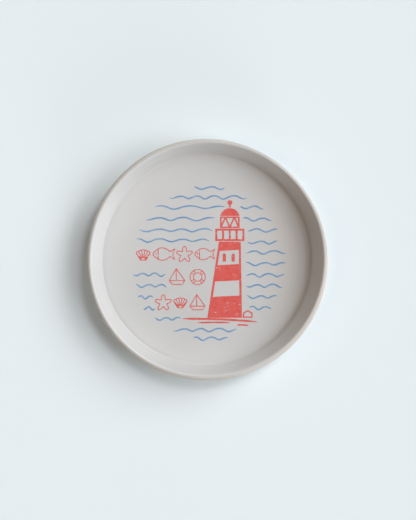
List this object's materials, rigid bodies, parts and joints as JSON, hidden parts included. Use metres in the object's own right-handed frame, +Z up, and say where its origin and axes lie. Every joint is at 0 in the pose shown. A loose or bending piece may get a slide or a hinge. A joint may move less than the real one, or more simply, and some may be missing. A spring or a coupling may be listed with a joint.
{
  "type": "souvenir plate",
  "caption": "Round glazed stoneware plate with a flat well, steep wall and foot ring, printed with blue waves, a red banded lighthouse and outlined sea ornaments.",
  "frame": {"origin": "centre of the foot ring, on the surface the plate stands on", "axes": "+Z up out of the well, +Y towards the top of the picture, +X towards its right-hand side"},
  "size_m": [0.203, 0.203, 0.024],
  "materials": {
    "fired_clay": "matte",
    "satin_glaze": "satin",
    "blue_enamel": "satin",
    "red_enamel": "satin"
  },
  "bodies": {
    "root": {"base_glaze": "satin_glaze", "face_glaze": "satin_glaze", "keepers_cottage": "red_enamel", "lighthouse_dome": "red_enamel", "lighthouse_finial": "red_enamel", "lighthouse_gallery": "red_enamel", "lighthouse_lantern": "red_enamel", "lighthouse_tower": "red_enamel", "ornament_1_shell": "red_enamel", "ornament_2_eye": "red_enamel", "ornament_2_fish": "red_enamel", "ornament_3_starfish": "red_enamel", "ornament_4_eye": "red_enamel", "ornament_4_fish": "red_enamel", "ornament_5_boat": "red_enamel", "ornament_6_lifebelt": "red_enamel", "ornament_7_starfish": "red_enamel", "ornament_8_shell": "red_enamel", "ornament_9_boat": "red_enamel", "shore_line": "red_enamel", "shore_ripple_1": "red_enamel", "shore_ripple_2": "red_enamel", "stoneware_body": "fired_clay", "tower_window_1": "red_enamel", "tower_window_2": "red_enamel", "wave_01": "blue_enamel", "wave_02": "blue_enamel", "wave_03": "blue_enamel", "wave_04": "blue_enamel", "wave_05": "blue_enamel", "wave_06": "blue_enamel", "wave_07": "blue_enamel", "wave_08": "blue_enamel", "wave_09": "blue_enamel", "wave_10": "blue_enamel", "wave_11": "blue_enamel", "wave_12": "blue_enamel", "wave_13": "blue_enamel", "wave_14": "blue_enamel", "wave_15": "blue_enamel", "wave_16": "blue_enamel", "wave_17": "blue_enamel", "wave_18": "blue_enamel", "wave_19": "blue_enamel", "wave_20": "blue_enamel", "wave_21": "blue_enamel", "wave_22": "blue_enamel", "wave_23": "blue_enamel"}
  },
  "joints": []
}
